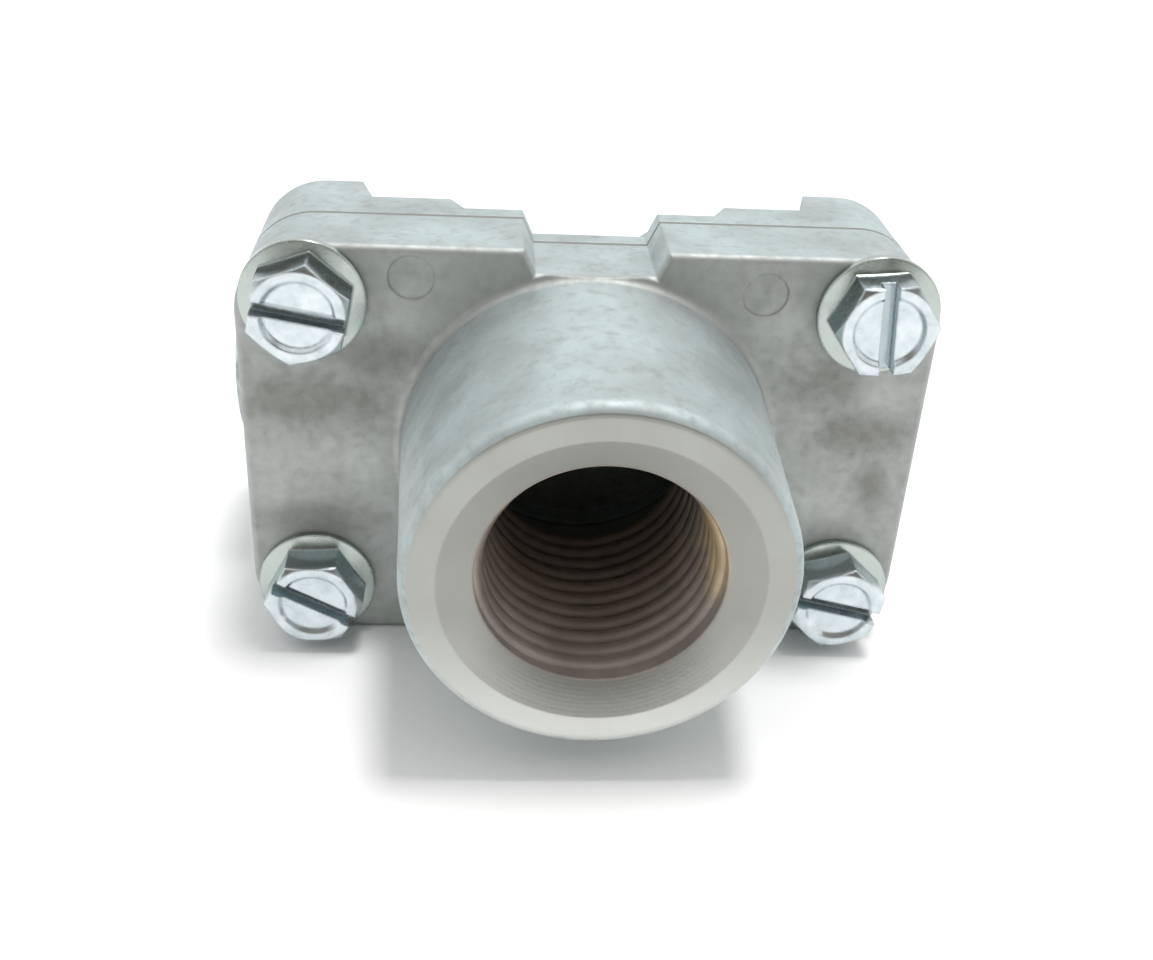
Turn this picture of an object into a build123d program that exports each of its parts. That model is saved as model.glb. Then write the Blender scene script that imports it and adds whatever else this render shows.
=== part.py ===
# Flow splitter valve
#
# A small die-cast pneumatic valve. Air enters the round boss on the front cover and
# is shared between two ports on the back. A hollow spool, centred by two springs,
# slides from side to side in a ported sleeve and keeps the two shares equal.
#
# The origin is on the inlet's axis, in the plane of the cover's front face.
# X runs to the right, Y to the back, and Z up. All sizes are in millimetres.

import os
from math import sqrt

from build123d import *

# Flange shared by the cover, the gasket and the body
screw_spacing_x = 50.0
screw_spacing_z = 29.0
screw_to_side = 6.0
screw_to_top = 4.9
screw_to_bottom = 5.5
flange_corner_radius = 6.5
notch_floor_width = 10.4
notch_mouth_width = 12.4
notch_depth = 2.2

# Front cover
cover_thickness = 8.0
cover_edge_radius = 0.6
boss_length = 22.0
boss_tip_radius = 16.0
boss_root_radius = 16.9
boss_root_fillet = 0.8
boss_rim_round = 1.2
inlet_radius = 10.1
inlet_bevel_radius = 13.0
inlet_bevel_depth = 1.5
inlet_end = 0.5
chamber_radius = 13.0
pin_mark_radius = 2.0
pin_mark_depth = 0.15
pin_mark_places = [(-15.8, 16.6), (14.9, 15.9)]

# Gasket
gasket_thickness = 0.5

# Rear body
flange_thickness = 2.0
pad_thickness = 4.5
pad_length = 8.5
pad_slope = 1.3
column_wall_x = 5.0
column_wall_z = 5.9
column_floor = 1.2
column_slope = 1.5
column_round = 1.2
pocket_depth = 2.5
hub_wall = 1.8
tube_wall = 2.45
collar_wall = 2.5
collar_length = 8.0
collar_setback = 0.5
feed_radius = 4.2
casting_edge_bevel = 0.8

# Rear outlets
outlet_spacing = 28.0
outlet_port_radius = 6.2
outlet_port_length = 10.5
outlet_bevel_radius = 7.2
outlet_bevel_depth = 0.8
outlet_wall = 3.1
outlet_draft = 0.4
outlet_floor = 1.45
outlet_passage_radius = 3.4

# Cover screws: slotted hex washer heads
screw_radius = 2.7
screw_length = 15.9
screw_tip_bevel = 0.6
screw_hole_clearance = 0.3
tapped_hole_clearance = 0.02
tapped_hole_spare = 1.3
washer_radius = 5.45
washer_thickness = 0.9
washer_edge_thickness = 0.65
head_flats = 8.0
head_height = 4.3
head_bevel = 0.35
head_dish_radius = 3.25
head_dish_floor_radius = 2.85
head_dish_depth = 0.35
slot_width = 1.25
slot_depth = 1.5
screw_turns = {
    "upper_left": -10.5,
    "upper_right": 95.0,
    "lower_left": -28.0,
    "lower_right": -13.4,
}

# Sleeve
sleeve_bore_radius = 5.0
sleeve_wall = 2.5
sleeve_half_length = 22.0
sleeve_clearance = 0.05
sleeve_groove_depth = 0.6
sleeve_inlet_groove = 4.0
sleeve_inlet_hole_radius = 1.6
sleeve_outlet_groove_before = 3.5
sleeve_outlet_groove_after = 3.0
window_radius = 1.5
window_offset = 1.5
window_count = 6
seal_cord_radius = 0.575
seal_groove_width = 1.6

# Spool
spool_clearance = 0.03
spool_travel = 2.5
spool_bore_radius = 2.2
spool_groove_radius = 4.1
spool_inlet_groove = 3.2
spool_inlet_hole_radius = 1.4
spool_outlet_groove = 3.0
spool_outlet_hole_radius = 1.2
spool_end_land = 2.5
spool_pocket_radius = 3.5
spool_pocket_depth = 2.0
balance_groove_width = 0.5
balance_groove_depth = 0.25
insert_setback = 6.0
insert_length = 2.5
insert_hole_radius = 0.9
insert_clearance = 0.01

# Springs and their seats
spring_wire_radius = 0.3
spring_side_gap = 0.2
spring_end_gap = 0.02
spring_turns = 6
seat_radius = 4.0
seat_thickness = 1.4
seat_stem_radius = 2.3
seat_stop_gap = 0.05

# End plugs
plug_gap = 0.05
plug_nose_clearance = 0.1
plug_nose_length = 3.5
plug_recess_depth = 1.5
plug_recess_clearance = 0.05
plug_seal_setback = 1.9
plug_thread_radius = 8.5
plug_thread_clearance = 0.02
plug_flange_radius = 9.8
plug_flange_thickness = 0.8
plug_head_flats = 16.0
plug_head_height = 2.6
plug_bevel = 0.5
plug_socket_flats = 6.0
plug_socket_depth = 2.4

# Places worked out from the sizes above
flange_width = screw_spacing_x + 2 * screw_to_side
flange_top = screw_spacing_z / 2 + screw_to_top
flange_bottom = -screw_spacing_z / 2 - screw_to_bottom
body_front = cover_thickness + gasket_thickness
tapped_hole_end = screw_length + tapped_hole_spare
tapped_hole_radius = screw_radius + tapped_hole_clearance
column_end = tapped_hole_end + column_floor
column_inner_x = screw_spacing_x / 2 - column_wall_x
column_inner_z = screw_spacing_z / 2 - column_wall_z
hub_radius = chamber_radius + hub_wall

sleeve_radius = sleeve_bore_radius + sleeve_wall
sleeve_seat_radius = sleeve_radius + sleeve_clearance
tube_radius = sleeve_seat_radius + tube_wall
plug_hole_radius = plug_thread_radius + plug_thread_clearance
collar_radius = plug_thread_radius + collar_wall
collar_end_x = flange_width / 2
tube_y = body_front + collar_radius + collar_setback
port_end_y = tube_y + sleeve_seat_radius + outlet_floor + outlet_port_length
outlet_tip_radius = outlet_port_radius + outlet_wall
outlet_root_radius = outlet_tip_radius + outlet_draft

outlet_groove_in = outlet_spacing / 2 - sleeve_outlet_groove_before
outlet_groove_out = outlet_spacing / 2 + sleeve_outlet_groove_after
inner_seal_x = (sleeve_inlet_groove + outlet_groove_in) / 2
outer_seal_x = (outlet_groove_out + sleeve_half_length) / 2
window_x = outlet_spacing / 2 - window_offset
seal_groove_floor = sleeve_seat_radius - 2 * seal_cord_radius
seal_ring_radius = sleeve_seat_radius - seal_cord_radius

spool_radius = sleeve_bore_radius - spool_clearance
spool_groove_in = window_x - spool_outlet_groove
spool_half_length = window_x + spool_end_land
pocket_floor_x = spool_half_length - spool_pocket_depth

plug_start_x = sleeve_half_length + plug_gap
plug_nose_radius = sleeve_seat_radius - plug_nose_clearance
plug_nose_end_x = sleeve_half_length + plug_nose_length
plug_seal_x = sleeve_half_length + plug_seal_setback
plug_head_start_x = collar_end_x + plug_flange_thickness
plug_head_end_x = collar_end_x + plug_head_height
seat_back_x = plug_start_x + plug_recess_depth
seat_front_x = seat_back_x - seat_thickness
seat_stem_tip_x = pocket_floor_x + spool_travel + seat_stop_gap
spring_radius = spool_pocket_radius - spring_side_gap - spring_wire_radius
spring_start_x = pocket_floor_x + spring_wire_radius + spring_end_gap
spring_end_x = seat_front_x - spring_wire_radius - spring_end_gap

sides = {"left": -1, "right": 1}
levels = {"lower": -1, "upper": 1}
inlet_axis = Axis.Y
spool_axis = Axis((0, tube_y, 0), (1, 0, 0))

parts = {}


def facing_front(y):
    """A plane that faces the front, at a distance y behind the cover's face"""
    return Plane.XZ.offset(-y)


def facing_side(x, side):
    """A plane that faces outwards from the left or the right end of the spool's axis"""
    return Plane(origin=(side * x, tube_y, 0), x_dir=(0, 0, 1), z_dir=(side, 0, 0))


def turned_outline(points):
    """A closed outline in the XY plane, to be turned about an axis"""
    with BuildSketch(Plane.XY) as outline:
        with BuildLine():
            Polyline(*points, close=True)
        make_face()
    return outline.sketch


def along_spool(points, side=1):
    """Pairs of distance along the spool and radius, as points in the XY plane"""
    return [(side * x, tube_y + radius) for x, radius in points]


def both_ends(points):
    """The right half of an outline along the spool, with its mirror image before it"""
    return [(-x, radius) for x, radius in reversed(points)] + points


def notch_outline(mode=Mode.ADD):
    """The notch in the flange's top edge, in the open sketch, carried on above the boss's foot"""
    floor = flange_top - notch_depth
    rise = notch_depth + boss_root_radius + boss_root_fillet
    flare = (notch_mouth_width - notch_floor_width) / 2 / notch_depth
    top_half_width = notch_floor_width / 2 + flare * rise
    Polygon(
        (-top_half_width, floor + rise),
        (-notch_floor_width / 2, floor),
        (notch_floor_width / 2, floor),
        (top_half_width, floor + rise),
        align=None,
        mode=mode,
    )


def flange_plate():
    """The flange's outer shape, in the open sketch"""
    with Locations((0, (flange_top + flange_bottom) / 2)):
        RectangleRounded(flange_width, flange_top - flange_bottom, flange_corner_radius)


def flange_outline(hole_radius):
    """The flange's shape in the open sketch, with its notch and four screw holes"""
    flange_plate()
    notch_outline(Mode.SUBTRACT)
    with GridLocations(screw_spacing_x, screw_spacing_z, 2, 2):
        Circle(hole_radius, mode=Mode.SUBTRACT)


def finish(name, solid):
    """Labels a finished piece and keeps it for writing"""
    solid.label = name
    parts[name] = solid


# Front cover: plate, tapered inlet boss, port and chamber
with BuildPart() as front_cover:
    with BuildSketch(facing_front(0)):
        flange_outline(screw_radius + screw_hole_clearance)
    extrude(amount=-cover_thickness)
    front_face = front_cover.faces().sort_by(Axis.Y)[0]
    fillet(front_face.outer_wire().edges(), cover_edge_radius)
    with BuildSketch(Plane.XY):
        with BuildLine():
            inside = (0, cover_thickness / 2)
            foot_inside = (boss_root_radius + boss_root_fillet, cover_thickness / 2)
            foot = (boss_root_radius + boss_root_fillet, 0)
            root = (boss_root_radius, -boss_root_fillet)
            rim_side = (boss_tip_radius, -boss_length + boss_rim_round)
            rim_face = (boss_tip_radius - boss_rim_round, -boss_length)
            Polyline((0, -boss_length), inside, foot_inside, foot)
            RadiusArc(foot, root, -boss_root_fillet)
            Line(root, rim_side)
            RadiusArc(rim_side, rim_face, boss_rim_round)
            Line(rim_face, (0, -boss_length))
        make_face()
    revolve(axis=inlet_axis)
    revolve(
        turned_outline([
            (0, -boss_length),
            (inlet_bevel_radius, -boss_length),
            (inlet_radius, -boss_length + inlet_bevel_depth),
            (inlet_radius, inlet_end),
            (chamber_radius, inlet_end),
            (chamber_radius, cover_thickness),
            (0, cover_thickness),
        ]),
        axis=inlet_axis,
        mode=Mode.SUBTRACT,
    )
    with BuildSketch(facing_front(-boss_root_fillet)):
        notch_outline()
    extrude(amount=-(boss_root_fillet + cover_thickness), mode=Mode.SUBTRACT)
    with BuildSketch(facing_front(0)):
        with Locations(*pin_mark_places):
            Circle(pin_mark_radius)
    extrude(amount=-pin_mark_depth, mode=Mode.SUBTRACT)
finish("front_cover", front_cover.part)


# Gasket between the cover and the body
with BuildPart() as cover_gasket:
    with BuildSketch(facing_front(cover_thickness)):
        flange_outline(screw_radius + screw_hole_clearance)
        Circle(chamber_radius, mode=Mode.SUBTRACT)
    extrude(amount=-gasket_thickness)
finish("cover_gasket", cover_gasket.part)


# Rear body: flange, corner columns, pads, hub, cross tube and two outlet bosses
with BuildPart() as rear_body:
    with BuildSketch(facing_front(body_front)):
        flange_plate()
    extrude(amount=-flange_thickness)
    pad_end = body_front + pad_thickness
    pad_inner_x = column_inner_x - pad_length
    for low, high in ((flange_bottom, -column_inner_z), (column_inner_z, flange_top)):
        for side in sides.values():
            corner_points = [
                (pad_inner_x, body_front),
                (pad_inner_x, body_front + flange_thickness),
                (pad_inner_x + pad_slope, pad_end),
                (column_inner_x, pad_end),
                (column_inner_x + column_slope, column_end),
                (flange_width / 2, column_end),
                (flange_width / 2, body_front),
            ]
            with BuildSketch(Plane.XY.offset(low)):
                with BuildLine():
                    Polyline(*[(side * x, y) for x, y in corner_points], close=True)
                make_face()
            extrude(amount=high - low)
    with BuildSketch(facing_front(body_front)):
        flange_plate()
    extrude(amount=-(column_end - body_front), mode=Mode.INTERSECT)
    column_backs = rear_body.faces().sort_by(Axis.Y)[-4:]
    fillet(column_backs.edges(), column_round)
    revolve(
        turned_outline([
            (0, body_front + flange_thickness / 2),
            (hub_radius, body_front + flange_thickness / 2),
            (hub_radius, body_front + flange_thickness),
            (tube_radius, tube_y),
            (0, tube_y),
        ]),
        axis=inlet_axis,
    )
    collar_start_x = collar_end_x - collar_length
    revolve(
        turned_outline(along_spool(both_ends([
            (collar_start_x - collar_radius + tube_radius, tube_radius),
            (collar_start_x, collar_radius),
            (collar_end_x - casting_edge_bevel, collar_radius),
            (collar_end_x, collar_radius - casting_edge_bevel),
            (collar_end_x, 0),
        ]))),
        axis=spool_axis,
    )
    for side in sides.values():
        port_x = side * outlet_spacing / 2
        revolve(
            turned_outline([
                (port_x, tube_y),
                (port_x + outlet_root_radius, tube_y),
                (port_x + outlet_tip_radius, port_end_y - casting_edge_bevel),
                (port_x + outlet_tip_radius - casting_edge_bevel, port_end_y),
                (port_x, port_end_y),
            ]),
            axis=Axis((port_x, 0, 0), (0, 1, 0)),
        )
    with BuildSketch(facing_front(body_front)):
        Circle(chamber_radius)
    extrude(amount=-pocket_depth, mode=Mode.SUBTRACT)
    with BuildSketch(facing_front(body_front)):
        Circle(feed_radius)
    extrude(amount=-(tube_y - body_front), mode=Mode.SUBTRACT)
    revolve(
        turned_outline(along_spool(both_ends([
            (plug_nose_end_x, sleeve_seat_radius),
            (plug_nose_end_x, plug_hole_radius),
            (collar_end_x, plug_hole_radius),
            (collar_end_x, 0),
        ]))),
        axis=spool_axis,
        mode=Mode.SUBTRACT,
    )
    for side in sides.values():
        port_x = side * outlet_spacing / 2
        revolve(
            turned_outline([
                (port_x, tube_y),
                (port_x + outlet_passage_radius, tube_y),
                (port_x + outlet_passage_radius, port_end_y - outlet_port_length),
                (port_x + outlet_port_radius, port_end_y - outlet_port_length),
                (port_x + outlet_port_radius, port_end_y - outlet_bevel_depth),
                (port_x + outlet_bevel_radius, port_end_y),
                (port_x, port_end_y),
            ]),
            axis=Axis((port_x, 0, 0), (0, 1, 0)),
            mode=Mode.SUBTRACT,
        )
    with BuildSketch(facing_front(body_front)):
        with GridLocations(screw_spacing_x, screw_spacing_z, 2, 2):
            Circle(tapped_hole_radius)
    extrude(amount=-(tapped_hole_end - body_front), mode=Mode.SUBTRACT)
    with BuildSketch(facing_front(body_front)):
        notch_outline()
    extrude(amount=-flange_thickness, mode=Mode.SUBTRACT)
finish("rear_body", rear_body.part)


# Cover screws: one piece each, with a washer, a dished hexagon and a slot
for corner, turn in screw_turns.items():
    level_name, side_name = corner.split("_")
    screw_x = sides[side_name] * screw_spacing_x / 2
    screw_z = levels[level_name] * screw_spacing_z / 2
    screw_axis = Axis((screw_x, 0, screw_z), (0, 1, 0))
    head_corner_radius = head_flats / sqrt(3)
    with BuildPart() as cover_screw:
        with BuildSketch(facing_front(-washer_edge_thickness)):
            with Locations((screw_x, screw_z)):
                RegularPolygon(head_flats / 2, 6, major_radius=False, rotation=turn + 30)
        extrude(amount=head_height - washer_edge_thickness)
        with BuildSketch(Plane.XY.offset(screw_z)):
            with BuildLine():
                Polyline(
                    (screw_x, 0),
                    (screw_x, -head_height),
                    (screw_x + head_flats / 2, -head_height),
                    (screw_x + head_corner_radius, -head_height + head_bevel),
                    (screw_x + head_corner_radius, 0),
                    close=True,
                )
            make_face()
        revolve(axis=screw_axis, mode=Mode.INTERSECT)
        with BuildSketch(Plane.XY.offset(screw_z)):
            with BuildLine():
                Polyline(
                    (screw_x, screw_length),
                    (screw_x, -washer_thickness),
                    (screw_x + head_flats / 2, -washer_thickness),
                    (screw_x + washer_radius, -washer_edge_thickness),
                    (screw_x + washer_radius, 0),
                    (screw_x + screw_radius, 0),
                    (screw_x + screw_radius, screw_length - screw_tip_bevel),
                    (screw_x + screw_radius - screw_tip_bevel, screw_length),
                    close=True,
                )
            make_face()
        revolve(axis=screw_axis)
        with BuildSketch(Plane.XY.offset(screw_z)):
            Polygon(
                (screw_x, -head_height),
                (screw_x + head_dish_radius, -head_height),
                (screw_x + head_dish_floor_radius, -head_height + head_dish_depth),
                (screw_x, -head_height + head_dish_depth),
                align=None,
            )
        revolve(axis=screw_axis, mode=Mode.SUBTRACT)
        with BuildSketch(facing_front(-head_height)):
            with Locations((screw_x, screw_z)):
                Rectangle(3 * head_flats, slot_width, rotation=turn)
        extrude(amount=-slot_depth, mode=Mode.SUBTRACT)
    finish("cover_screw_" + corner, cover_screw.part)


# Ported sleeve that the spool slides in
with BuildPart() as spool_sleeve:
    groove_radius = sleeve_radius - sleeve_groove_depth
    half_seal = seal_groove_width / 2
    sleeve_outline = [
        (sleeve_inlet_groove, groove_radius),
        (sleeve_inlet_groove, sleeve_radius),
        (inner_seal_x - half_seal, sleeve_radius),
        (inner_seal_x - half_seal, seal_groove_floor),
        (inner_seal_x + half_seal, seal_groove_floor),
        (inner_seal_x + half_seal, sleeve_radius),
        (outlet_groove_in, sleeve_radius),
        (outlet_groove_in, groove_radius),
        (outlet_groove_out, groove_radius),
        (outlet_groove_out, sleeve_radius),
        (outer_seal_x - half_seal, sleeve_radius),
        (outer_seal_x - half_seal, seal_groove_floor),
        (outer_seal_x + half_seal, seal_groove_floor),
        (outer_seal_x + half_seal, sleeve_radius),
        (sleeve_half_length, sleeve_radius),
        (sleeve_half_length, sleeve_bore_radius),
    ]
    revolve(turned_outline(along_spool(both_ends(sleeve_outline))), axis=spool_axis)
    for hole_x, hole_radius in (
        (0, sleeve_inlet_hole_radius),
        (-window_x, window_radius),
        (window_x, window_radius),
    ):
        with Locations((hole_x, tube_y, 0)):
            for step in range(window_count // 2):
                Cylinder(
                    hole_radius,
                    2 * sleeve_radius,
                    rotation=(90 + step * 360 / window_count, 0, 0),
                    mode=Mode.SUBTRACT,
                )
finish("spool_sleeve", spool_sleeve.part)


# Rings that seal the sleeve and the two plugs in the body
for side_name, side in sides.items():
    for ring_name, ring_x in (
        ("sleeve_seal_inner_", inner_seal_x),
        ("sleeve_seal_outer_", outer_seal_x),
        ("plug_seal_", plug_seal_x),
    ):
        with BuildPart() as seal_ring:
            with Locations((side * ring_x, tube_y, 0)):
                Torus(seal_ring_radius, seal_cord_radius, rotation=(0, 90, 0))
        finish(ring_name + side_name, seal_ring.part)


# Balancing spool
with BuildPart() as flow_spool:
    land_middle = (spool_inlet_groove + spool_groove_in) / 2
    balance_floor = spool_radius - balance_groove_depth
    spool_outline = [
        (spool_inlet_groove, spool_groove_radius),
        (spool_inlet_groove, spool_radius),
        (land_middle - balance_groove_width / 2, spool_radius),
        (land_middle - balance_groove_width / 2, balance_floor),
        (land_middle + balance_groove_width / 2, balance_floor),
        (land_middle + balance_groove_width / 2, spool_radius),
        (spool_groove_in, spool_radius),
        (spool_groove_in, spool_groove_radius),
        (window_x, spool_groove_radius),
        (window_x, spool_radius),
        (spool_half_length, spool_radius),
        (spool_half_length, spool_pocket_radius),
        (pocket_floor_x, spool_pocket_radius),
        (pocket_floor_x, spool_bore_radius),
    ]
    revolve(turned_outline(along_spool(both_ends(spool_outline))), axis=spool_axis)
    outlet_hole_x = window_x - spool_outlet_groove / 2
    for hole_x, hole_radius in (
        (0, spool_inlet_hole_radius),
        (-outlet_hole_x, spool_outlet_hole_radius),
        (outlet_hole_x, spool_outlet_hole_radius),
    ):
        with Locations((hole_x, tube_y, 0)):
            for turn in (0, 90):
                Cylinder(
                    hole_radius,
                    2 * spool_radius,
                    rotation=(turn, 0, 0),
                    mode=Mode.SUBTRACT,
                )
finish("flow_spool", flow_spool.part)


# Pieces that come in pairs, left and right of the middle
for side_name, side in sides.items():
    # Orifice insert inside the spool
    with BuildPart() as orifice_insert:
        insert_radius = spool_bore_radius - insert_clearance
        insert_outline = [
            (insert_setback, insert_hole_radius),
            (insert_setback, insert_radius),
            (insert_setback + insert_length, insert_radius),
            (insert_setback + insert_length, insert_hole_radius),
        ]
        revolve(turned_outline(along_spool(insert_outline, side)), axis=spool_axis)
    finish("orifice_insert_" + side_name, orifice_insert.part)

    # Spring seat, whose stem is the spool's stop
    with BuildPart() as spring_seat:
        seat_outline = [
            (seat_stem_tip_x, 0),
            (seat_stem_tip_x, seat_stem_radius),
            (seat_front_x, seat_stem_radius),
            (seat_front_x, seat_radius),
            (seat_back_x, seat_radius),
            (seat_back_x, 0),
        ]
        revolve(turned_outline(along_spool(seat_outline, side)), axis=spool_axis)
    finish("spring_seat_" + side_name, spring_seat.part)

    # Centring spring between the spool's pocket and the seat
    spring_height = spring_end_x - spring_start_x
    with BuildPart() as centring_spring:
        with BuildLine():
            coil = Helix(
                spring_height / spring_turns,
                spring_height,
                spring_radius,
                center=(side * spring_start_x, tube_y, 0),
                direction=(side, 0, 0),
            )
        with BuildSketch(Plane(origin=coil @ 0, z_dir=coil % 0)):
            Circle(spring_wire_radius)
        sweep(path=coil)
    finish("centring_spring_" + side_name, centring_spring.part)

    # End plug with a hexagon head and a hexagon socket
    with BuildPart() as end_plug:
        with BuildSketch(facing_side(plug_head_start_x, side)):
            RegularPolygon(plug_head_flats / 2, 6, major_radius=False)
        extrude(amount=plug_head_end_x - plug_head_start_x)
        head_outline = [
            (plug_head_start_x, 0),
            (plug_head_start_x, plug_head_flats / sqrt(3)),
            (plug_head_end_x - plug_bevel, plug_head_flats / sqrt(3)),
            (plug_head_end_x, plug_head_flats / 2),
            (plug_head_end_x, 0),
        ]
        revolve(
            turned_outline(along_spool(head_outline, side)),
            axis=spool_axis,
            mode=Mode.INTERSECT,
        )
        recess_radius = seat_radius + plug_recess_clearance
        half_seal = seal_groove_width / 2
        plug_outline = [
            (seat_back_x, 0),
            (seat_back_x, recess_radius),
            (plug_start_x, recess_radius),
            (plug_start_x, plug_nose_radius),
            (plug_seal_x - half_seal, plug_nose_radius),
            (plug_seal_x - half_seal, seal_groove_floor),
            (plug_seal_x + half_seal, seal_groove_floor),
            (plug_seal_x + half_seal, plug_nose_radius),
            (plug_nose_end_x + plug_bevel, plug_nose_radius),
            (plug_nose_end_x + plug_bevel, plug_thread_radius),
            (collar_end_x, plug_thread_radius),
            (collar_end_x, plug_flange_radius),
            (plug_head_start_x, plug_flange_radius),
            (plug_head_start_x, 0),
        ]
        revolve(turned_outline(along_spool(plug_outline, side)), axis=spool_axis)
        with BuildSketch(facing_side(plug_head_end_x, side)):
            RegularPolygon(plug_socket_flats / 2, 6, major_radius=False)
        extrude(amount=-plug_socket_depth, mode=Mode.SUBTRACT)
    finish("end_plug_" + side_name, end_plug.part)


os.makedirs("parts", exist_ok=True)
for name, solid in parts.items():
    export_step(solid, "parts/" + name + ".step")
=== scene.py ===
# Flow splitter valve: finish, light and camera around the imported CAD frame.
# Places are in millimetres in the dictionaries and in metres on the objects.
import math

import bpy
from mathutils import Matrix, Vector


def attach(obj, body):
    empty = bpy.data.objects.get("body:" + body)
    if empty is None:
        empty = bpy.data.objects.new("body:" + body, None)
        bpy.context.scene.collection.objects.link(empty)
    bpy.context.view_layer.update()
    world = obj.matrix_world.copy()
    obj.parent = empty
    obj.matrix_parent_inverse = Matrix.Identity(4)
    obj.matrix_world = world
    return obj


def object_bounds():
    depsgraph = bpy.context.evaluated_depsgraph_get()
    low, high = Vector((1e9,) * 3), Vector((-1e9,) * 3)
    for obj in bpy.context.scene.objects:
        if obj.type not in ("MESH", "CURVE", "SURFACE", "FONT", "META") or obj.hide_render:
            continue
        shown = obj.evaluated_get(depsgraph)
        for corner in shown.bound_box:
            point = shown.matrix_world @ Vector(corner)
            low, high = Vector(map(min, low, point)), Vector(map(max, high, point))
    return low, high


mm = 0.001

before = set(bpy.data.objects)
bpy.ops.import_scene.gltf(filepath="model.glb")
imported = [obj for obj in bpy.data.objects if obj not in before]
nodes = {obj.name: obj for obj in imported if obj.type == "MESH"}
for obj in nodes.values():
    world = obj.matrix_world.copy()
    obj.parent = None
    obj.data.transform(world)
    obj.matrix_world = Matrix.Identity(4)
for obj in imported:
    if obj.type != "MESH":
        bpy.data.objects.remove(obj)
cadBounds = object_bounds()
print("frame loaded,", len(nodes), "nodes")


def linearColour(hexCode):
    values = [int(hexCode[i:i + 2], 16) / 255 for i in (1, 3, 5)]
    lin = [v / 12.92 if v <= 0.04045 else ((v + 0.055) / 1.055) ** 2.4 for v in values]
    return (*lin, 1.0)


def addNode(tree, kind, settings=None, inputs=None):
    node = tree.nodes.new(kind)
    for name, value in (settings or {}).items():
        setattr(node, name, value)
    for key, value in (inputs or {}).items():
        if isinstance(value, bpy.types.NodeSocket):
            tree.links.new(value, node.inputs[key])
        else:
            node.inputs[key].default_value = value
    return node


def perMetre(sizeInMm):
    return 1.0 / (sizeInMm * mm)  # a noise scale whose blotches are about that wide


def newMaterial(name):
    material = bpy.data.materials.new(name)
    material.use_nodes = True
    material.node_tree.nodes.clear()
    return material, material.node_tree


# Camera, fitted to the edges of the flange and the boss
camera = {
    "position": (-9.834, -107.014, 58.589),
    "pitchDown": 29.803,
    "yawRight": 4.893,
    "roll": 3.426,
    "focalPixels": 1327.5,
    "imageWidth": 1153,
    "sensor": 36.0,
}


def addCamera():
    data = bpy.data.cameras.new("photoCamera")
    data.sensor_fit = "HORIZONTAL"
    data.sensor_width = camera["sensor"]
    data.lens = camera["focalPixels"] / camera["imageWidth"] * camera["sensor"]
    data.clip_start = 0.005
    pitch = math.radians(camera["pitchDown"])
    yaw = math.radians(camera["yawRight"])
    roll = math.radians(camera["roll"])
    forward = Vector((
        math.sin(yaw) * math.cos(pitch),
        math.cos(yaw) * math.cos(pitch),
        -math.sin(pitch),
    ))
    level = Vector((math.cos(yaw), -math.sin(yaw), 0))
    upright = level.cross(forward)
    right = math.cos(roll) * level + math.sin(roll) * upright
    up = -math.sin(roll) * level + math.cos(roll) * upright
    turn = Matrix((right, up, -forward)).transposed()
    photoCamera = bpy.data.objects.new("photoCamera", data)
    photoCamera.matrix_world = Matrix.Translation(Vector(camera["position"]) * mm) @ turn.to_4x4()
    bpy.context.collection.objects.link(photoCamera)
    bpy.context.scene.camera = photoCamera


addCamera()
print("camera placed")


# Floor, world, sun and a dark card for the side of the room that the camera stands in
stage = {
    "floorSize": 6.0,
    "floorColour": "#fdfdfd",
    "worldColour": "#fbfbfb",
    "worldLight": 0.95,
    "sunFrom": (0.128, 0.04, 1.0),
    "sunColour": "#fffefd",
    "sunAngle": 12.0,
    "sunLight": 1.6,
    "cardPlace": (0.0, -0.75, 0.3),
    "cardSize": (2.0, 1.2),
    "cardColour": "#6f6a62",
}


def shownToEye(tree):
    path = addNode(tree, "ShaderNodeLightPath")
    glossy = addNode(tree, "ShaderNodeMath", {"operation": "MAXIMUM"},
                     {0: path.outputs["Is Camera Ray"], 1: path.outputs["Is Glossy Ray"]})
    either = addNode(tree, "ShaderNodeMath", {"operation": "MAXIMUM"},
                     {0: glossy.outputs[0], 1: path.outputs["Is Transmission Ray"]})
    return either.outputs[0]


def stagePanel(name, corners, colour):
    mesh = bpy.data.meshes.new(name)
    mesh.from_pydata(corners, [], [(0, 1, 2, 3)])
    panel = bpy.data.objects.new(name, mesh)
    bpy.context.collection.objects.link(panel)
    material, tree = newMaterial(name + "Matt")
    diffuse = addNode(tree, "ShaderNodeBsdfDiffuse", inputs={"Color": linearColour(colour)})
    addNode(tree, "ShaderNodeOutputMaterial", inputs={"Surface": diffuse.outputs[0]})
    mesh.materials.append(material)
    return panel


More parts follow.
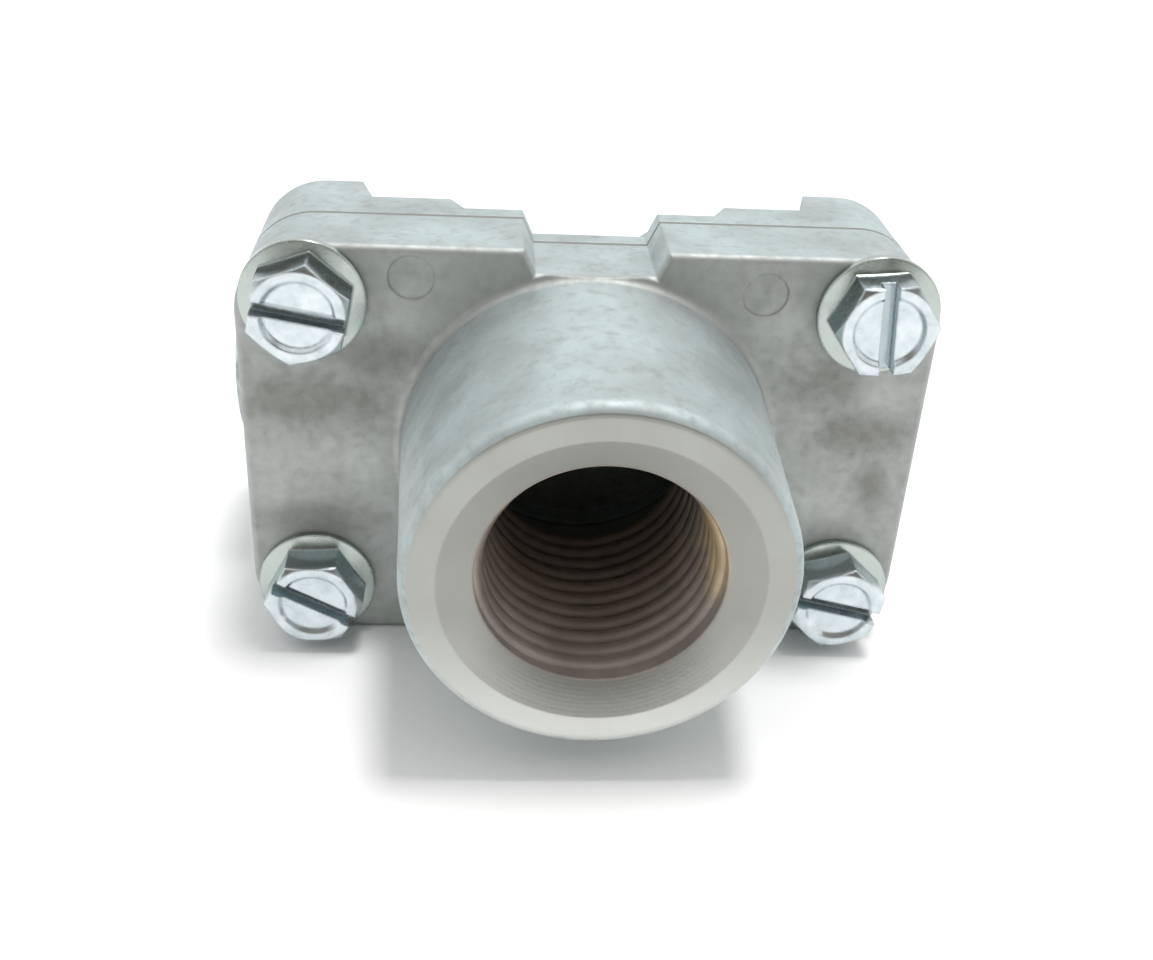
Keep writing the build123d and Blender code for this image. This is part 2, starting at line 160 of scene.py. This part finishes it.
def addStage():
    floorLevel = cadBounds[0][2]
    half = stage["floorSize"] / 2
    around = ((-1, -1), (1, -1), (1, 1), (-1, 1))
    stagePanel("floor", [(s * half, t * half, floorLevel) for s, t in around], stage["floorColour"])
    width, height = stage["cardSize"]
    x, y, z = stage["cardPlace"]
    card = stagePanel("roomCard", [(x + s * width / 2, y, z + t * height / 2) for s, t in around],
                      stage["cardColour"])
    card.visible_camera = False

    world = bpy.data.worlds.new("whiteTent")
    world.use_nodes = True
    tree = world.node_tree
    tree.nodes.clear()
    strength = addNode(tree, "ShaderNodeMix", {"data_type": "FLOAT"},
                       {0: shownToEye(tree), 2: stage["worldLight"], 3: 1.0})
    sky = addNode(tree, "ShaderNodeBackground",
                  inputs={"Color": linearColour(stage["worldColour"]), "Strength": strength.outputs[0]})
    addNode(tree, "ShaderNodeOutputWorld", inputs={"Surface": sky.outputs[0]})
    bpy.context.scene.world = world

    data = bpy.data.lights.new("wideSun", "SUN")
    data.energy = stage["sunLight"]
    data.angle = math.radians(stage["sunAngle"])
    data.color = linearColour(stage["sunColour"])[:3]
    sun = bpy.data.objects.new("wideSun", data)
    sun.rotation_euler = Vector(stage["sunFrom"]).to_track_quat("Z", "Y").to_euler()
    bpy.context.collection.objects.link(sun)


addStage()
bpy.context.scene.view_settings.view_transform = "Standard"
print("stage lit")


# Die-cast aluminium: frozen against a steel die, so it is dull and softly mottled, with greyer
# handling stains and a very fine grain that spreads the light.
casting = {
    "clean": "#c3cfd0",
    "dull": "#b2bbbb",
    "stain": "#93948f",
    "roughness": (0.58, 0.72),
    "blotch": 6.0,
    "speck": 1.1,
    "grain": 0.3,
    "grainHeight": 0.01,
    "waveHeight": 0.035,
    "edgeRound": 0.3,
}


def castAluminium(name, dressing=None):
    material, tree = newMaterial(name)
    place = addNode(tree, "ShaderNodeTexCoord").outputs["Object"]
    blotch = addNode(tree, "ShaderNodeTexNoise",
                     inputs={"Vector": place, "Scale": perMetre(casting["blotch"]), "Detail": 4.0,
                             "Roughness": 0.55}).outputs[0]
    speck = addNode(tree, "ShaderNodeTexNoise",
                    inputs={"Vector": place, "Scale": perMetre(casting["speck"]), "Detail": 3.0,
                            "Roughness": 0.6}).outputs[0]
    grain = addNode(tree, "ShaderNodeTexNoise",
                    inputs={"Vector": place, "Scale": perMetre(casting["grain"]), "Detail": 2.0}).outputs[0]
    dull = addNode(tree, "ShaderNodeMapRange", inputs={0: blotch, 1: 0.35, 2: 0.65})
    base = addNode(tree, "ShaderNodeMix", {"data_type": "RGBA"},
                   {0: dull.outputs[0], 6: linearColour(casting["clean"]), 7: linearColour(casting["dull"])})
    specks = addNode(tree, "ShaderNodeMapRange", inputs={0: speck, 1: 0.5, 2: 0.8, 4: 0.4})
    stained = addNode(tree, "ShaderNodeMix", {"data_type": "RGBA"},
                      {0: specks.outputs[0], 6: base.outputs[2], 7: linearColour(casting["stain"])})
    rough = addNode(tree, "ShaderNodeMapRange",
                    inputs={0: speck, 1: 0.3, 2: 0.7,
                            3: casting["roughness"][0], 4: casting["roughness"][1]})
    soft = addNode(tree, "ShaderNodeBevel", {"samples": 4}, {"Radius": casting["edgeRound"] * mm})
    waves = addNode(tree, "ShaderNodeBump",
                    inputs={"Height": blotch, "Distance": casting["waveHeight"] * mm,
                            "Normal": soft.outputs[0]})
    fine = addNode(tree, "ShaderNodeBump",
                   inputs={"Height": grain, "Distance": casting["grainHeight"] * mm,
                           "Normal": waves.outputs[0]})
    look = {"Base Color": stained.outputs[2], "Metallic": 1.0, "Roughness": rough.outputs[0],
            "Normal": fine.outputs[0]}
    if dressing:
        dressing(tree, place, blotch, speck, look)
    surface = addNode(tree, "ShaderNodeBsdfPrincipled", inputs=look)
    addNode(tree, "ShaderNodeOutputMaterial", inputs={"Surface": surface.outputs[0]})
    return material


# The cover has more: a front face with a greyer tone, partly its duller finish and partly painted shade,
# darker patches beside the boss that are painted shade of the boss, and lighter rubbed patches; a rim and
# bevel that were turned and so look warmer and finely ringed, with the bevel painted darker as shade, the
# rim's lower lip painted paler as a reflection of the bright floor and a few paler chips there; and a port
# stained brown by oil, with a paler golden patch on its right wall.
faceShadeAndWear = {
    # face: greyer tone over the whole front face, partly its own duller finish and partly painted shade
    "face": "#b9bab7",
    "faceToneAndShadeAmount": 0.75,
    # colour, amount, places: darker patches beside the boss, painted shade of the boss (x, z, half width,
    # half height)
    "colour": "#85857f",
    "amount": 0.6,
    "places": (
        (-23.5, 4.8, 9.0, 3.6),
        (-19.0, 9.0, 5.0, 3.0),
        (-25.0, -7.5, 6.5, 2.6),
        (25.0, 2.6, 6.0, 3.2),
        (21.5, 8.0, 4.5, 4.5),
        (27.5, -3.4, 2.4, 3.4),
    ),
    "rubbedAndSheen": "#d2d5d2",
    "rubbedAndSheenAmount": 0.45,
    "rubbedPlaces": (
        (-28.6, -3.0, 3.0, 6.0),
        (-22.0, -1.5, 5.0, 3.0),
        (23.6, -5.8, 5.0, 3.2),
        (27.0, 6.5, 3.0, 3.0),
        (-16.6, 13.6, 2.6, 2.6),
        (16.6, 13.6, 2.6, 2.6),
    ),
}
rim = {
    "bright": "#b9bcb7",
    "dull": "#a4a6a0",
    # bevel colour and amount: painted shade on the chamfer that turns into the bore
    "shadedBevel": "#93948e",
    "bevelShadeAmount": 0.45,
    "face": -21.9,
    "bevelRadius": 13.1,
    # rim's paler lower lip: painted reflection of the bright floor in front
    "rubbedAndSheen": "#e2e4e1",
    "rubbedAndSheenAmount": 0.8,
    "ringPitch": 0.32,
    "ringHeight": 0.003,
    "roughness": 0.46,
    "chip": "#d9dcda",
    "chipSize": 1.0,
    "chipFrom": 15.2,
    "chipDepth": 0.12,
}
port = {
    "film": "#b9ada2",
    "filmDeep": "#a0968f",
    # a paler golden patch on the bore's right wall
    "paleGold": "#ead2a4",
    "paleGoldAt": (8.6, -16.0, 1.5),
    "paleGoldSize": (4.0, 6.5, 5.5),
    "radius": 10.2,
    "metallic": 0.1,
}


def coverDressing(tree, place, blotch, speck, look):
    split = addNode(tree, "ShaderNodeSeparateXYZ", inputs={0: place}).outputs
    across = addNode(tree, "ShaderNodeCombineXYZ", inputs={0: split[0], 2: split[2]})
    radius = addNode(tree, "ShaderNodeVectorMath", {"operation": "LENGTH"},
                     {0: across.outputs[0]}).outputs["Value"]

    behindFillet = addNode(tree, "ShaderNodeMapRange", inputs={0: split[1], 1: -1.0 * mm, 2: -0.4 * mm})
    beforeSide = addNode(tree, "ShaderNodeMapRange", inputs={0: split[1], 1: 0.9 * mm, 2: 0.1 * mm})
    onFace = addNode(tree, "ShaderNodeMath", {"operation": "MULTIPLY"},
                     {0: behindFillet.outputs[0], 1: beforeSide.outputs[0]})
    ragged = addNode(tree, "ShaderNodeMapRange", inputs={0: blotch, 1: 0.3, 2: 0.7, 3: -0.45, 4: 0.45})
    colour = look["Base Color"]
    # The whole front face is greyed: partly its duller finish, partly painted shade on a face that looks
    # away from the sun.
    faceToneAndShade = addNode(tree, "ShaderNodeMath", {"operation": "MULTIPLY"},
                     {0: onFace.outputs[0], 1: faceShadeAndWear["faceToneAndShadeAmount"]})
    colour = addNode(tree, "ShaderNodeMix", {"data_type": "RGBA"},
                     {0: faceToneAndShade.outputs[0], 6: colour, 7: linearColour(faceShadeAndWear["face"])})
    # Lighter rubbed patches first, then darker patches beside the boss, which are painted shade.
    for places, tint, amount in ((faceShadeAndWear["rubbedPlaces"], "rubbedAndSheen", "rubbedAndSheenAmount"),
                                 (faceShadeAndWear["places"], "colour", "amount")):
        strongest = onFace
        for number, (x, z, halfWidth, halfHeight) in enumerate(places):
            centred = addNode(tree, "ShaderNodeMapping", {"vector_type": "POINT"},
                              {"Vector": across.outputs[0],
                               "Location": (-x / halfWidth, 0, -z / halfHeight),
                               "Scale": (1 / (halfWidth * mm), 0, 1 / (halfHeight * mm))})
            away = addNode(tree, "ShaderNodeVectorMath", {"operation": "LENGTH"},
                           {0: centred.outputs[0]})
            edge = addNode(tree, "ShaderNodeMath", {"operation": "ADD"},
                           {0: away.outputs["Value"], 1: ragged.outputs[0]})
            spot = addNode(tree, "ShaderNodeMapRange", {"interpolation_type": "SMOOTHSTEP"},
                           {0: edge.outputs[0], 1: 1.25, 2: 0.1})
            if number:
                spot = addNode(tree, "ShaderNodeMath", {"operation": "MAXIMUM"},
                               {0: strongest.outputs[0], 1: spot.outputs[0]})
            strongest = spot
        shade = addNode(tree, "ShaderNodeMath", {"operation": "MULTIPLY"},
                        {0: strongest.outputs[0], 1: onFace.outputs[0]})
        share = addNode(tree, "ShaderNodeMath", {"operation": "MULTIPLY"},
                        {0: shade.outputs[0], 1: faceShadeAndWear[amount]})
        colour = addNode(tree, "ShaderNodeMix", {"data_type": "RGBA"},
                         {0: share.outputs[0], 6: colour.outputs[2], 7: linearColour(faceShadeAndWear[tint])})

    skinFace = addNode(tree, "ShaderNodeMath", {"operation": "GREATER_THAN"},
                       {0: split[1], 1: rim["face"] * mm})
    skinRound = addNode(tree, "ShaderNodeMath", {"operation": "GREATER_THAN"},
                        {0: radius, 1: rim["bevelRadius"] * mm})
    skin = addNode(tree, "ShaderNodeMath", {"operation": "MULTIPLY"},
                   {0: skinFace.outputs[0], 1: skinRound.outputs[0]})
    turned = addNode(tree, "ShaderNodeMath", {"operation": "SUBTRACT"}, {0: 1.0, 1: skin.outputs[0]})
    rings = addNode(tree, "ShaderNodeTexWave", {"wave_type": "RINGS", "rings_direction": "Y"},
                    {"Vector": place, "Scale": math.pi / 10 / (rim["ringPitch"] * mm), "Distortion": 0.6,
                     "Detail": 1.0})
    warm = addNode(tree, "ShaderNodeMix", {"data_type": "RGBA"},
                   {0: blotch, 6: linearColour(rim["bright"]), 7: linearColour(rim["dull"])})
    # The bevel is painted darker: painted shade where it turns into the bore.
    bevelShadeMask = addNode(tree, "ShaderNodeMapRange",
                      inputs={0: radius, 1: (rim["bevelRadius"] + 0.05) * mm,
                              2: (rim["bevelRadius"] - 0.15) * mm, 4: rim["bevelShadeAmount"]})
    warm = addNode(tree, "ShaderNodeMix", {"data_type": "RGBA"},
                   {0: bevelShadeMask.outputs[0], 6: warm.outputs[2], 7: linearColour(rim["shadedBevel"])})
    colour = addNode(tree, "ShaderNodeMix", {"data_type": "RGBA"},
                     {0: turned.outputs[0], 6: colour.outputs[2], 7: warm.outputs[2]})
    # The rim's lower lip is painted paler towards the bottom: a painted reflection of the bright floor in
    # front.
    ontoLip = addNode(tree, "ShaderNodeMapRange",
                      inputs={0: split[1], 1: (rim["face"] + 1.5) * mm, 2: (rim["face"] + 0.3) * mm})
    lowLipSheen = addNode(tree, "ShaderNodeMapRange",
                     inputs={0: split[2], 1: -3.0 * mm, 2: -14.0 * mm, 4: rim["rubbedAndSheenAmount"]})
    lipSheen = addNode(tree, "ShaderNodeMath", {"operation": "MULTIPLY"},
                  {0: ontoLip.outputs[0], 1: lowLipSheen.outputs[0]})
    colour = addNode(tree, "ShaderNodeMix", {"data_type": "RGBA"},
                     {0: lipSheen.outputs[0], 6: colour.outputs[2], 7: linearColour(rim["rubbedAndSheen"])})
    ringed = addNode(tree, "ShaderNodeBump",
                     inputs={"Strength": turned.outputs[0], "Height": rings.outputs["Fac"],
                             "Distance": rim["ringHeight"] * mm, "Normal": look["Normal"]})

    nick = addNode(tree, "ShaderNodeTexNoise",
                   inputs={"Vector": place, "Scale": perMetre(rim["chipSize"]), "Detail": 1.0})
    nicked = addNode(tree, "ShaderNodeMapRange", inputs={0: nick.outputs[0], 1: 0.56, 2: 0.62})
    nearEdge = addNode(tree, "ShaderNodeMapRange",
                       inputs={0: radius, 1: rim["chipFrom"] * mm, 2: (rim["chipFrom"] + 0.5) * mm})
    nearFace = addNode(tree, "ShaderNodeMapRange",
                       inputs={0: split[1], 1: (rim["face"] + 1.6) * mm, 2: (rim["face"] + 0.8) * mm})
    # Real nicks in the rim's edge, kept to the lower rim, where their paler colour also adds painted light
    # to the lip.
    low = addNode(tree, "ShaderNodeMapRange", inputs={0: split[2], 1: -2.0 * mm, 2: -8.0 * mm})
    chip = nicked
    for limit in (nearEdge, nearFace, low):
        chip = addNode(tree, "ShaderNodeMath", {"operation": "MULTIPLY"},
                       {0: chip.outputs[0], 1: limit.outputs[0]})
    colour = addNode(tree, "ShaderNodeMix", {"data_type": "RGBA"},
                     {0: chip.outputs[0], 6: colour.outputs[2], 7: linearColour(rim["chip"])})
    dented = addNode(tree, "ShaderNodeBump", {"invert": True},
                     {"Height": chip.outputs[0], "Distance": rim["chipDepth"] * mm,
                      "Normal": ringed.outputs[0]})

    inside = addNode(tree, "ShaderNodeMapRange",
                     inputs={0: radius, 1: (port["radius"] + 0.15) * mm, 2: (port["radius"] - 0.15) * mm})
    ahead = addNode(tree, "ShaderNodeMapRange", inputs={0: split[1], 1: 0.6 * mm, 2: 0.2 * mm})
    filmed = addNode(tree, "ShaderNodeMath", {"operation": "MULTIPLY"},
                     {0: inside.outputs[0], 1: ahead.outputs[0]})
    patchy = addNode(tree, "ShaderNodeMapRange", inputs={0: blotch, 1: 0.35, 2: 0.6})
    tone = addNode(tree, "ShaderNodeMix", {"data_type": "RGBA"},
                   {0: patchy.outputs[0], 6: linearColour(port["film"]), 7: linearColour(port["filmDeep"])})
    # A paler golden patch on the bore's right wall.
    paleGoldSpot = addNode(tree, "ShaderNodeMapping", {"vector_type": "POINT"},
                        {"Vector": place,
                         "Location": tuple(-c / s for c, s in zip(port["paleGoldAt"], port["paleGoldSize"])),
                         "Scale": tuple(1 / (s * mm) for s in port["paleGoldSize"])})
    paleGoldAway = addNode(tree, "ShaderNodeVectorMath", {"operation": "LENGTH"}, {0: paleGoldSpot.outputs[0]})
    paleGoldEdge = addNode(tree, "ShaderNodeMath", {"operation": "ADD"},
                        {0: paleGoldAway.outputs["Value"], 1: ragged.outputs[0]})
    paleGold = addNode(tree, "ShaderNodeMapRange", {"interpolation_type": "SMOOTHSTEP"},
                    {0: paleGoldEdge.outputs[0], 1: 1.2, 2: 0.2})
    tone = addNode(tree, "ShaderNodeMix", {"data_type": "RGBA"},
                   {0: paleGold.outputs[0], 6: tone.outputs[2], 7: linearColour(port["paleGold"])})
    colour = addNode(tree, "ShaderNodeMix", {"data_type": "RGBA"},
                     {0: filmed.outputs[0], 6: colour.outputs[2], 7: tone.outputs[2]})
    metal = addNode(tree, "ShaderNodeMapRange", inputs={0: filmed.outputs[0], 3: 1.0, 4: port["metallic"]})
    rough = addNode(tree, "ShaderNodeMix", {"data_type": "FLOAT"},
                    {0: turned.outputs[0], 2: look["Roughness"], 3: rim["roughness"]})
    look.update({"Base Color": colour.outputs[2], "Metallic": metal.outputs[0],
                 "Roughness": rough.outputs[0], "Normal": dented.outputs[0]})


# Zinc plate on steel: thin and passivated, so it is bright, faintly blue and a bit cloudy.
zinc = {
    "bright": "#dde6ea",
    "cloud": "#c3cfd3",
    "roughness": (0.16, 0.3),
    "cloudSize": 1.6,
    "edgeRound": 0.3,
    # washer colour: the washer's greener tint, darkened as painted shade
    "washerTintAndShade": "#bac4bf",
    "washerEnds": -0.92,
    # flank colour: painted shade on the hex flanks and in the slot
    "shadedFlank": "#b2bec3",
    "shadedFlankEnds": -3.8,
}


def platedSteel(name, bright, cloud, roughness, cloudSize=1.6, edgeRound=0.12, dressing=None):
    material, tree = newMaterial(name)
    place = addNode(tree, "ShaderNodeTexCoord").outputs["Object"]
    clouds = addNode(tree, "ShaderNodeTexNoise",
                     inputs={"Vector": place, "Scale": perMetre(cloudSize), "Detail": 4.0, "Roughness": 0.6})
    fine = addNode(tree, "ShaderNodeTexNoise",
                   inputs={"Vector": place, "Scale": perMetre(cloudSize / 8), "Detail": 2.0})
    mask = addNode(tree, "ShaderNodeMapRange", inputs={0: clouds.outputs[0], 1: 0.35, 2: 0.7})
    colour = addNode(tree, "ShaderNodeMix", {"data_type": "RGBA"},
                     {0: mask.outputs[0], 6: linearColour(bright), 7: linearColour(cloud)})
    rough = addNode(tree, "ShaderNodeMapRange",
                    inputs={0: clouds.outputs[0], 1: 0.3, 2: 0.7, 3: roughness[0], 4: roughness[1]})
    soft = addNode(tree, "ShaderNodeBevel", {"samples": 4}, {"Radius": edgeRound * mm})
    bump = addNode(tree, "ShaderNodeBump",
                   inputs={"Height": fine.outputs[0], "Distance": 0.004 * mm, "Normal": soft.outputs[0]})
    look = {"Base Color": colour.outputs[2], "Metallic": 1.0, "Roughness": rough.outputs[0],
            "Normal": bump.outputs[0]}
    if dressing:
        dressing(tree, place, look)
    surface = addNode(tree, "ShaderNodeBsdfPrincipled", inputs=look)
    addNode(tree, "ShaderNodeOutputMaterial", inputs={"Surface": surface.outputs[0]})
    return material


# The plate on a screw is brightest on top of the head. Behind the top, the flanks and the slot are painted
# darker as shade, and the washer is painted duller as shade and greener as its own tint.
def screwDressing(tree, place, look):
    split = addNode(tree, "ShaderNodeSeparateXYZ", inputs={0: place}).outputs
    colour = look["Base Color"]
    # Painted shade on the flanks and slot, then the washer's tint with painted shade.
    for tint, ends in (("shadedFlank", "shadedFlankEnds"), ("washerTintAndShade", "washerEnds")):
        behind = addNode(tree, "ShaderNodeMapRange",
                         inputs={0: split[1], 1: (zinc[ends] - 0.06) * mm, 2: (zinc[ends] + 0.06) * mm})
        colour = addNode(tree, "ShaderNodeMix", {"data_type": "RGBA"},
                         {0: behind.outputs[0], 6: colour, 7: linearColour(zinc[tint])}).outputs[2]
    look["Base Color"] = colour


# Sheet gasket, moulded nitrile rubber and phosphated steel: all dull, with a fine grain.
def dullSheet(name, colourA, colourB, grainSize, roughness):
    material, tree = newMaterial(name)
    place = addNode(tree, "ShaderNodeTexCoord").outputs["Object"]
    grain = addNode(tree, "ShaderNodeTexNoise",
                    inputs={"Vector": place, "Scale": perMetre(grainSize), "Detail": 4.0})
    colour = addNode(tree, "ShaderNodeMix", {"data_type": "RGBA"},
                     {0: grain.outputs[0], 6: linearColour(colourA), 7: linearColour(colourB)})
    bump = addNode(tree, "ShaderNodeBump", inputs={"Height": grain.outputs[0], "Distance": 0.02 * mm})
    surface = addNode(tree, "ShaderNodeBsdfPrincipled",
                      inputs={"Base Color": colour.outputs[2], "Roughness": roughness,
                              "Normal": bump.outputs[0]})
    addNode(tree, "ShaderNodeOutputMaterial", inputs={"Surface": surface.outputs[0]})
    return material


finishes = {
    "cover": castAluminium("dieCastAluminiumCover", coverDressing),
    "body": castAluminium("dieCastAluminiumBody"),
    "screw": platedSteel("bluePassivatedZincPlate", zinc["bright"], zinc["cloud"], zinc["roughness"],
                         zinc["cloudSize"], zinc["edgeRound"], screwDressing),
    "plug": platedSteel("turnedZincPlatedSteel", "#b6bdbf", "#98a1a3", (0.22, 0.4)),
    "sleeve": dullSheet("phosphatedSteel", "#a7a8aa", "#939496", 0.4, 0.55),
    "spool": platedSteel("lappedSteel", "#c0c2c4", "#aaacae", (0.12, 0.22)),
    "spring": platedSteel("drawnSpringSteel", "#8d9092", "#76797b", (0.3, 0.45)),
    "brass": platedSteel("turnedBrass", "#c9a45c", "#b08a45", (0.22, 0.38)),
    "gasket": dullSheet("compressedFibreSheet", "#8f908d", "#7c7d79", 0.3, 0.85),
    "rubber": dullSheet("mouldedNitrileRubber", "#1d1d1e", "#262627", 0.2, 0.6),
}


def finishOf(nodeName):
    if nodeName == "front_cover":
        return "cover"
    if nodeName == "rear_body":
        return "body"
    for word, finish in (("gasket", "gasket"), ("seal", "rubber"), ("screw", "screw"),
                         ("plug", "plug"), ("seat", "plug"), ("sleeve", "sleeve"),
                         ("flow_spool", "spool"), ("spring", "spring"), ("insert", "brass")):
        if word in nodeName:
            return finish


for nodeName, node in nodes.items():
    node.data.materials.clear()
    node.data.materials.append(finishes[finishOf(nodeName)])
print("finishes laid on", len(nodes), "nodes")


# One Geometry Nodes tree winds a V ridge along a helix. The ridge's foot is sunk in the port's
# wall, and its crest closes in by 1 in 16 on the diameter, as a taper pipe thread does.
threads = {
    "inletThread": {"centre": (0, 0), "mouth": -20.4, "inward": 1, "wall": 10.1, "crest": 9.92,
                    "pitch": 1.814, "length": 20.4},
    "outletThreadLeft": {"centre": (-14, 0), "mouth": 38.6, "inward": -1, "wall": 6.2, "crest": 5.82,
                         "pitch": 1.411, "length": 9.3},
    "outletThreadRight": {"centre": (14, 0), "mouth": 38.6, "inward": -1, "wall": 6.2, "crest": 5.82,
                          "pitch": 1.411, "length": 9.3},
}
threadForm = {
    "taper": 1 / 32,
    "crestFlat": 0.16,
    "ridgeDepth": 0.6,
    "flankAngle": 50.0,
    "fadeIn": 0.05,
    "stepsPerTurn": 72,
}


def threadTree():
    tree = bpy.data.node_groups.new("threadRidge", "GeometryNodeTree")
    sockets = (("Turns", "NodeSocketFloat"), ("Mouth Radius", "NodeSocketFloat"),
               ("End Radius", "NodeSocketFloat"), ("Length", "NodeSocketFloat"),
               ("Ridge Depth", "NodeSocketFloat"), ("Crest Width", "NodeSocketFloat"),
               ("Foot Width", "NodeSocketFloat"), ("Steps", "NodeSocketInt"),
               ("Place", "NodeSocketVector"), ("Turn", "NodeSocketVector"),
               ("Material", "NodeSocketMaterial"))
    for name, kind in sockets:
        tree.interface.new_socket(name, in_out="INPUT", socket_type=kind)
    tree.interface.new_socket("Geometry", in_out="OUTPUT", socket_type="NodeSocketGeometry")
    given = addNode(tree, "NodeGroupInput").outputs
    helix = addNode(tree, "GeometryNodeCurveSpiral",
                    inputs={"Resolution": given["Steps"], "Rotations": given["Turns"],
                            "Start Radius": given["Mouth Radius"], "End Radius": given["End Radius"],
                            "Height": given["Length"]})
    upright = addNode(tree, "GeometryNodeSetCurveNormal", {"mode": "Z_UP"}, {"Curve": helix.outputs[0]})
    ridge = addNode(tree, "GeometryNodeCurvePrimitiveQuadrilateral", {"mode": "TRAPEZOID"},
                    {"Height": given["Ridge Depth"], "Bottom Width": given["Foot Width"],
                     "Top Width": given["Crest Width"], "Offset": 0.0})
    along = addNode(tree, "GeometryNodeSplineParameter")
    fadeIn = addNode(tree, "ShaderNodeMapRange",
                     inputs={0: along.outputs["Factor"], 2: threadForm["fadeIn"], 3: 0.2})
    swept = addNode(tree, "GeometryNodeCurveToMesh",
                    inputs={"Curve": upright.outputs[0], "Profile Curve": ridge.outputs[0],
                            "Scale": fadeIn.outputs[0], "Fill Caps": True})
    placed = addNode(tree, "GeometryNodeTransform",
                     inputs={"Geometry": swept.outputs[0], "Translation": given["Place"],
                             "Rotation": given["Turn"]})
    real = addNode(tree, "GeometryNodeRealizeInstances", inputs={"Geometry": placed.outputs[0]})
    coated = addNode(tree, "GeometryNodeSetMaterial",
                     inputs={"Geometry": real.outputs[0], "Material": given["Material"]})
    addNode(tree, "NodeGroupOutput", inputs={"Geometry": coated.outputs[0]})
    return tree


def bakeNodes(name, tree, values):
    holder = bpy.data.objects.new(name, bpy.data.meshes.new(name + "Holder"))
    bpy.context.collection.objects.link(holder)
    modifier = holder.modifiers.new("shape", "NODES")
    modifier.node_group = tree
    for item in tree.interface.items_tree:
        if item.item_type == "SOCKET" and item.in_out == "INPUT" and item.name in values:
            modifier[item.identifier] = values[item.name]
    depsgraph = bpy.context.evaluated_depsgraph_get()
    mesh = bpy.data.meshes.new_from_object(holder.evaluated_get(depsgraph))
    mesh.name = name
    holder.modifiers.remove(modifier)
    holder.data = mesh
    return holder


def addThreads():
    tree = threadTree()
    for name, t in threads.items():
        sink = threadForm["ridgeDepth"]
        middle = t["crest"] + sink / 2
        foot = threadForm["crestFlat"] + 2 * sink * math.tan(math.radians(threadForm["flankAngle"]))
        thread = bakeNodes(name, tree, {
            "Turns": t["length"] / t["pitch"],
            "Mouth Radius": middle * mm,
            "End Radius": (middle - t["length"] * threadForm["taper"]) * mm,
            "Length": t["length"] * mm,
            "Ridge Depth": sink * mm,
            "Crest Width": threadForm["crestFlat"] * mm,
            "Foot Width": foot * mm,
            "Steps": threadForm["stepsPerTurn"],
            "Place": (t["centre"][0] * mm, t["mouth"] * mm, t["centre"][1] * mm),
            "Turn": (-t["inward"] * math.pi / 2, 0, 0),
            "Material": finishes["cover" if t["inward"] > 0 else "body"],
        })
        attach(thread, "valve_body")


addThreads()
print("threads wound:", ", ".join(threads))
